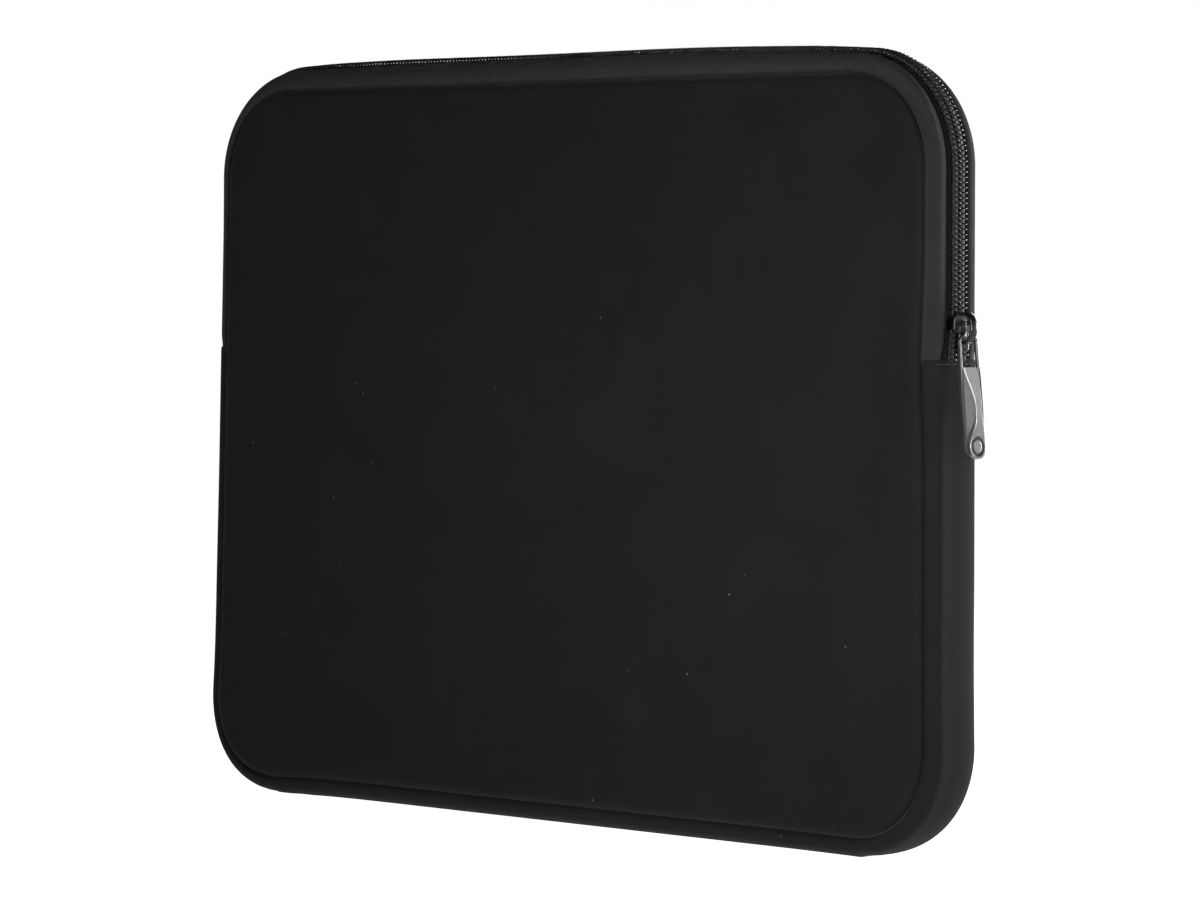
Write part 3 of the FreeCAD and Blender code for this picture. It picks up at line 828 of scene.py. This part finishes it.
def make_coil(name, side):
    """One row of the zipper: a flattened helix of monofilament whose heads reach past the middle.

    The strands on the outside slant in the front row and lie straight across in the back row.
    """
    stations = loop_frames("upper", JOIN - 1.0 * MM, 1.0 * MM, COIL_MIDDLE)
    length = stations[-1, 4]
    turns = int(length / PITCH)
    outside_share = 0.72 if side < 0 else 0.12
    centre_depth = COIL_HALF_WIDE - 0.15 * MM
    path = []
    for index in range(turns * TURN_STEPS):
        phase = (index % TURN_STEPS) / TURN_STEPS
        turn = 2 * math.pi * phase
        if phase < 0.5:
            advance = (1 - outside_share) * phase * 2
        else:
            advance = 1 - outside_share + outside_share * (phase - 0.5) * 2
        travel = PITCH * (index // TURN_STEPS + advance + (0.5 if side > 0 else 0.0))
        x, z, out_x, out_z, middle = coil_place(stations, min(travel, length))
        swing = math.copysign(abs(math.cos(turn)) ** 0.75, math.cos(turn))
        lift = -math.copysign(abs(math.sin(turn)) ** 0.8, math.sin(turn))
        head = max(-swing, 0.0)
        depth = side * (centre_depth + COIL_HALF_WIDE * swing + spread_at((x, z), side))
        rise = middle + COIL_HALF_TALL * lift + 0.12 * MM * head ** 3
        path.append((x + out_x * rise, depth, z + out_z * rise, 1 + 0.25 * head ** 4))
    path = np.array(path)
    places = path[:, :3]
    tangents = np.gradient(places, axis=0)
    tangents /= np.linalg.norm(tangents, axis=1)[:, None]
    vertices = []
    normal = np.cross(tangents[0], np.array([0.0, 1.0, 0.0]))
    for index, (place, tangent) in enumerate(zip(places, tangents)):
        normal = normal - tangent * np.dot(normal, tangent)
        normal /= np.linalg.norm(normal)
        binormal = np.cross(tangent, normal)
        for corner in range(STRAND_CORNERS):
            angle = 2 * math.pi * corner / STRAND_CORNERS
            offset = normal * math.cos(angle) + binormal * math.sin(angle)
            vertices.append(place + offset * STRAND * path[index, 3])
    faces = tube_faces(0, len(places), STRAND_CORNERS)
    return add_mesh(name, vertices, faces, "zipper_coil", sharp=80)


def make_core(name, side):
    """The cord sewn through the middle of a coil."""
    stations = loop_frames("upper", JOIN - 0.8 * MM, 2.5 * MM, COIL_MIDDLE)
    turns = [2 * math.pi * step / 12 for step in range(12)]
    section = [(COIL_MIDDLE - 0.25 * MM + 0.55 * MM * math.sin(turn),
                side * (1.75 * MM + 1.25 * MM * math.cos(turn))) for turn in turns]

    def follow(station, here):
        here[:, 0] *= 1 + top_swell(station[0], station[1]) / TAPE_RISE
        here[:, 1] += side * spread_at(station, side)
        return here

    return sweep(name, stations, section if side > 0 else section[::-1], "thread", move=follow)


STITCH_RINGS = 5
STITCH_CORNERS = 5


def stitch_rings(thick):
    """Ring by ring, the share along a stitch, how far it bows out and its half thickness."""
    for ring in range(STITCH_RINGS):
        share = ring / (STITCH_RINGS - 1)
        bow = 1 - 4 * (share - 0.5) ** 2
        yield share, bow, thick * (0.55 + 0.45 * bow)


def stitch_angles():
    return [2 * math.pi * corner / STITCH_CORNERS for corner in range(STITCH_CORNERS)]


def make_stitches(name, stations, rise, depth, size):
    """A row of sewn stitches: short plump threads that dive into the cloth at both ends.

    size is a stitch's length, the gap to the next one and its thickness.
    """
    long, gap, thick = size
    length = stations[-1, 4]
    count = int(length / (long + gap))
    vertices, faces, strip = [], [], []
    for stitch in range(count):
        start = (length - count * (long + gap)) / 2 + stitch * (long + gap)
        faces += tube_faces(len(vertices), STITCH_RINGS, STITCH_CORNERS)
        for share, bow, plump in stitch_rings(thick):
            travel = start + long * share
            x, z, out_x, out_z = station_at(stations, travel)
            swell = 1 + (top_swell(x, z) / TAPE_RISE if rise > TAPE_RISE / 2 else 0.0)
            for angle in stitch_angles():
                up = rise * swell + thick * (bow - 0.6) + plump * math.sin(angle)
                vertices.append((x + out_x * up, depth + plump * math.cos(angle), z + out_z * up))
                strip.append((travel, angle * thick))
    return add_mesh(name, vertices, faces, "thread", strip, sharp=80)


def make_binding(name, side):
    """Ribbed tape folded over the raw seam inside the sleeve."""
    low, high = (Vector(corner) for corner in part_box("back_seam_binding"))
    near, far = low.y, high.y
    wide, swell = 4.2 * MM, 0.25 * MM
    section = [(-wide, near + swell), (-wide * 0.8, near), (-wide * 0.5, near + swell * 0.6),
               (-wide * 0.2, near), (0, near + swell), (0, far), (-wide, far)]
    section = [(rise, side * depth) for rise, depth in section]
    section = section if side > 0 else section[::-1]
    return sweep(name, loop_frames("whole", spacing=4 * MM), section, "binding", closed=True)


def make_gusset_lining():
    outer = pillow(GUSSET_RISE - 3.4 * MM, PILLOW_EDGE - 3.1 * MM, 18)
    inner = pillow(GUSSET_RISE - 4.4 * MM, PILLOW_EDGE - 4.0 * MM, 18)
    stations = loop_frames("lower", JOIN - 0.4 * MM, 3 * MM, GUSSET_RISE)
    return sweep("gusset_lining", stations, outer + inner[::-1], "lining")


def make_join_stitches():
    """Short stitches across the band where each tape end is sewn under the neoprene."""
    height = JOIN - 1.6 * MM
    vertices, faces, strip = [], [], []
    long, gap, thick = 2.2 * MM, 0.7 * MM, 0.2 * MM
    reach = 10 * MM
    profile = np.array(pillow(GUSSET_RISE, PILLOW_EDGE, 60))[::-1]
    count = int(2 * reach / (long + gap))
    for side in (1, -1):
        for stitch in range(count):
            start = -reach + stitch * (long + gap)
            faces += tube_faces(len(vertices), STITCH_RINGS, STITCH_CORNERS)
            for share, bow, plump in stitch_rings(thick):
                depth = start + long * share
                rise = np.interp(depth, profile[:, 1], profile[:, 0])
                for angle in stitch_angles():
                    up = rise + thick * (bow - 1.6) + plump * math.sin(angle)
                    z = height + plump * math.cos(angle)
                    vertices.append((side * (HALF_WIDTH + up), depth, z))
                    strip.append((depth, angle * thick))
    return add_mesh("join_stitches", vertices, faces, "thread", strip, sharp=80)


# Puller and crown

PIVOT = Vector(next(joint["pos_m"] for joint in frame["joints"] if joint["name"] == "puller_swing"))
PULLER_HALF = (PULLER_HIGH.y - PULLER_LOW.y) / 2 + 0.5 * MM
PULLER_LEAN = math.radians(4.0)
PULLER_LENGTH = (PIVOT.z - PULLER_LOW.z) / math.cos(PULLER_LEAN)
PULLER_THICK = 1.7 * MM
WINDOW_END = 14.6 * MM
LEG_INSIDE = 3.75 * MM
LEG_THICK = 1.4 * MM
HANG_OFFSET = 1.6 * MM
HANG_SLANT = 0.024
NECK_INSIDE = 1.9 * MM
NECK_OUTSIDE = 2.7 * MM
PULLER_SHOULDER = 4.6 * MM
BOSS_ALONG = PULLER_LENGTH - 4.1 * MM
BOSS_ACROSS = 0.35 * MM
BOSS_RADIUS = 2.75 * MM
PIN_RADIUS = 0.9 * MM


def puller_edge(along):
    """Half the puller's width at a distance below its pivot."""
    if along < 3.2 * MM:
        return NECK_OUTSIDE
    wide = NECK_OUTSIDE + (PULLER_SHOULDER - NECK_OUTSIDE) * smooth((along - 3.2 * MM) / (2.6 * MM))
    wide += (PULLER_HALF - PULLER_SHOULDER) * smooth((along - 6 * MM) / (20 * MM))
    end = PULLER_LENGTH - along
    corner = 4.4 * MM
    if end < corner:
        share = 1 - end / corner
        wide *= max(1 - share ** 2.6, 0.0) ** (1 / 2.6)
    return wide


def rib_line(along):
    """Where the swept ridge crosses the puller's face: an S that ends round the boss."""
    return (-4.3 + 5.2 * smooth((along / MM - 12.0) / 15.0)
            - 4.2 * smooth((along / MM - 31.0) / 9.0)) * MM


def face_height(across, along):
    """Height of the puller's face over its flat: the ridge, the pad and the ring's groove."""
    pad = smooth((along / MM - 29.0) / 8.0)
    past = across - rib_line(along)
    if past < 0:
        drop = (0.04 + 0.26 * pad) * smooth(-past / (0.42 * MM)) * MM - 0.03 * past
    else:
        drop = 0.36 * (1 - pad) * smooth(past / (0.4 * MM)) * MM + 0.02 * (1 - pad) * past
    oval_place = math.hypot(across - BOSS_ACROSS, along - BOSS_ALONG) / BOSS_RADIUS
    groove = 0.34 * MM * math.exp(-((oval_place - 1.0) / 0.13) ** 2)
    return 0.3 * MM - drop - groove


def on_puller(across, along, out):
    """A place on the leaning puller: across it, down from the pivot and out from its middle.

    Below its pin the puller sits a little to the front and hangs back, by the play in the crown.
    """
    across += HANG_SLANT * along - HANG_OFFSET * smooth((along - 1.5 * MM) / (3.5 * MM))
    lean_cos, lean_sin = math.cos(PULLER_LEAN), math.sin(PULLER_LEAN)
    return (PIVOT.x + out * lean_cos + along * lean_sin, across,
            PIVOT.z - along * lean_cos + out * lean_sin)


def bar_loop(alongs, left, right, corners, face=True):
    """Closed rounded sections between left(along) and right(along), joined into one casting."""
    vertices, faces = [], []
    for along in alongs:
        first, last = left(along), right(along)
        middle, half = (first + last) / 2, max((last - first) / 2, 0.02 * MM)
        for corner in range(corners):
            turn = 2 * math.pi * corner / corners
            cosine, sine = math.cos(turn), math.sin(turn)
            largest = max(abs(cosine), abs(sine))
            across, up = cosine / largest, sine / largest
            if abs(cosine) <= 1e-9:
                # The two columns on the middle line stand a hair to the side of it
                across = math.copysign(abs(cosine) ** max(min(0.35 * MM / half, 1.0), 0.12), cosine)
            edge_gap = (1 - abs(across)) * half
            place = middle + half * across
            out = (PULLER_THICK if face else LEG_THICK) / 2 * up
            soften = math.exp(-edge_gap / (0.18 * MM))
            out *= 1 - 0.22 * soften
            if half > 0.2 * MM:
                place -= math.copysign(0.12 * MM * abs(up) ** 6 * soften, across)
            if face and up > 0.999:
                out += face_height(place, along) - 0.2 * MM
            vertices.append(on_puller(place, along, out))
    rings = len(alongs)
    for ring in range(rings - 1):
        for corner in range(corners):
            beside = (corner + 1) % corners
            faces.append((ring * corners + corner, (ring + 1) * corners + corner,
                          (ring + 1) * corners + beside, ring * corners + beside))
    faces.append(tuple(range(corners)))
    faces.append(tuple((rings - 1) * corners + corner for corner in range(corners))[::-1])
    return vertices, faces


def make_puller():
    """The puller casting: a bar in the crown, two legs round a window, and a plate with a ridge."""
    foot_start = PULLER_LENGTH - 9.5 * MM
    plate_rows = list(np.arange(WINDOW_END, foot_start, 0.45 * MM))
    plate_rows += list(np.arange(foot_start, PULLER_LENGTH - 0.3 * MM, 0.2 * MM))
    plate_rows += [PULLER_LENGTH - 0.15 * MM, PULLER_LENGTH - 0.02 * MM]
    leg_rows = list(np.arange(0, WINDOW_END + 1.2 * MM, 0.4 * MM))

    def inside(along):
        return NECK_INSIDE + (LEG_INSIDE - NECK_INSIDE) * smooth((along - 3.4 * MM) / (2.4 * MM))

    def left_edge(along):
        return -puller_edge(along)

    parts = [bar_loop(plate_rows, left_edge, puller_edge, 144),
             bar_loop(leg_rows, left_edge, lambda along: -inside(along), 32, False),
             bar_loop(leg_rows, inside, puller_edge, 32, False)]
    vertices, faces = [], []
    for part_vertices, part_faces in parts:
        shift = len(vertices)
        vertices += part_vertices
        faces += [tuple(v + shift for v in face) for face in part_faces]
    corners, bevel = 20, 0.2 * MM
    ends = [(-NECK_OUTSIDE, 0.75), (bevel - NECK_OUTSIDE, 1.0),
            (NECK_OUTSIDE - bevel, 1.0), (NECK_OUTSIDE, 0.75)]
    faces += tube_faces(len(vertices), len(ends), corners)
    for across, size in ends:
        radius = PIN_RADIUS * size
        for corner in range(corners):
            angle = 2 * math.pi * corner / corners
            vertices.append(on_puller(across, radius * math.cos(angle), radius * math.sin(angle)))
    return add_mesh("puller_casting", vertices, faces, "puller_metal", sharp=38, soft=False)


def make_crown():
    """The arch over the slider: a rounded strap that springs from the outer plate."""
    low, high = (Vector(corner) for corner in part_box("slider_crown"))
    band = 1.2 * MM
    base = low.x - 0.3 * MM
    middle, half = (low.z + high.z) / 2, (high.z - low.z) / 2 - band / 2
    tall = high.x - base - band / 2
    turns = [math.pi * step / 28 for step in range(29)]
    stations = np.array([(base + tall * math.sin(turn) ** 0.75, middle - half * math.cos(turn))
                         for turn in turns])
    tangent = np.gradient(stations, axis=0)
    tangent /= np.linalg.norm(tangent, axis=1)[:, None]
    distance = np.concatenate([[0], np.cumsum(np.linalg.norm(np.diff(stations, axis=0), axis=1))])
    rows = [(x, z, tz, -tx, travel)
            for (x, z), (tx, tz), travel in zip(stations, tangent, distance)]
    wide = high.y - low.y
    section = []
    for step in range(20):
        turn = 2 * math.pi * step / 20
        across = math.copysign(abs(math.cos(turn)) ** 0.55, math.cos(turn))
        up = math.copysign(abs(math.sin(turn)) ** 0.6, math.sin(turn))
        section.append((band / 2 * up, wide / 2 * across))
    return sweep("crown_arch", rows, section, "slider_metal", soft=False)


def flap_piece(piece, *nodes):
    """A piece of the front by the mouth: its transform is baked into its mesh and the CAD parts it
    replaces are hidden.
    """
    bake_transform(piece)
    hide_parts(*nodes)


def root_piece(piece, *nodes):
    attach(piece, "root")
    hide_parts(*nodes)


make_camera()
make_studio()

front_panel = make_panel("front_panel", -1)
flap_piece(front_panel, "front_panel_lower", "front_panel_upper")
back_panel = make_panel("back_panel_pad", 1)
root_piece(back_panel, "back_panel")

front_lining = make_lining("front_lining", -1)
flap_piece(front_lining, "front_lining_lower", "front_lining_upper")
back_lining = make_lining("back_lining_sheet", 1)
root_piece(back_lining, "back_lining")

gusset = make_gusset()
root_piece(gusset, "lower_gusset")

tape_front = make_tape("tape_front", -1)
flap_piece(tape_front, "zipper_tape_front", "zipper_tape_front_ends")
tape_back = make_tape("tape_back", 1)
root_piece(tape_back, "zipper_tape_back")
coil_front = make_coil("teeth_front", -1)
flap_piece(coil_front, "coil_front", "coil_front_ends")
coil_back = make_coil("teeth_back", 1)
root_piece(coil_back, "coil_back")

SEAM_STITCH = (2.2 * MM, 0.6 * MM, 0.22 * MM)
COIL_STITCH = (1.5 * MM, 0.25 * MM, 0.14 * MM)
SEAM_STITCH_DEPTH = GROOVE_DEPTH + 0.1 * MM
COIL_STITCH_DEPTH = 4.5 * MM
COIL_STITCH_RISE = VALLEY - 0.75 * MM

seam_line = loop_frames("whole", spacing=2 * MM)
front_stitches = make_stitches("front_seam_stitches", seam_line, 0.1 * MM, -SEAM_STITCH_DEPTH,
                               SEAM_STITCH)
flap_piece(front_stitches, "front_seam_thread_lower", "front_seam_thread_upper")
back_stitches = make_stitches("back_seam_stitches", seam_line, 0.1 * MM, SEAM_STITCH_DEPTH,
                              SEAM_STITCH)
root_piece(back_stitches, "back_seam_thread")
front_binding = make_binding("front_binding", -1)
flap_piece(front_binding, "front_seam_binding_lower", "front_seam_binding_upper")
back_binding = make_binding("back_binding", 1)
root_piece(back_binding, "back_seam_binding")
root_piece(make_gusset_lining(), "lower_gusset_lining")
root_piece(make_join_stitches(), "gusset_join_thread")

tape_line = loop_frames("upper", JOIN + 0.5 * MM, 2 * MM, TAPE_RISE)
front_rows = make_stitches("coil_stitches_front", tape_line, COIL_STITCH_RISE, -COIL_STITCH_DEPTH,
                           COIL_STITCH)
flap_piece(front_rows, "coil_stitch_front", "coil_stitch_front_ends")
back_rows = make_stitches("coil_stitches_back", tape_line, COIL_STITCH_RISE, COIL_STITCH_DEPTH,
                          COIL_STITCH)
for side, core_name, place_piece in ((-1, "front_core", flap_piece), (1, "back_core", root_piece)):
    place_piece(make_core(core_name, side))
root_piece(back_rows, "coil_stitch_back")

puller = make_puller()
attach(puller, "puller")
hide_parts("puller_tab")
crown = make_crown()
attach(crown, "slider")
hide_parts("slider_crown")

for node, slot_name in (("slider_body", "slider_metal"), ("slider_lock_pawl", "pawl_steel")):
    target = frame["nodes"][node]
    target.data.materials.clear()
    target.data.materials.append(MATERIALS[slot_name])
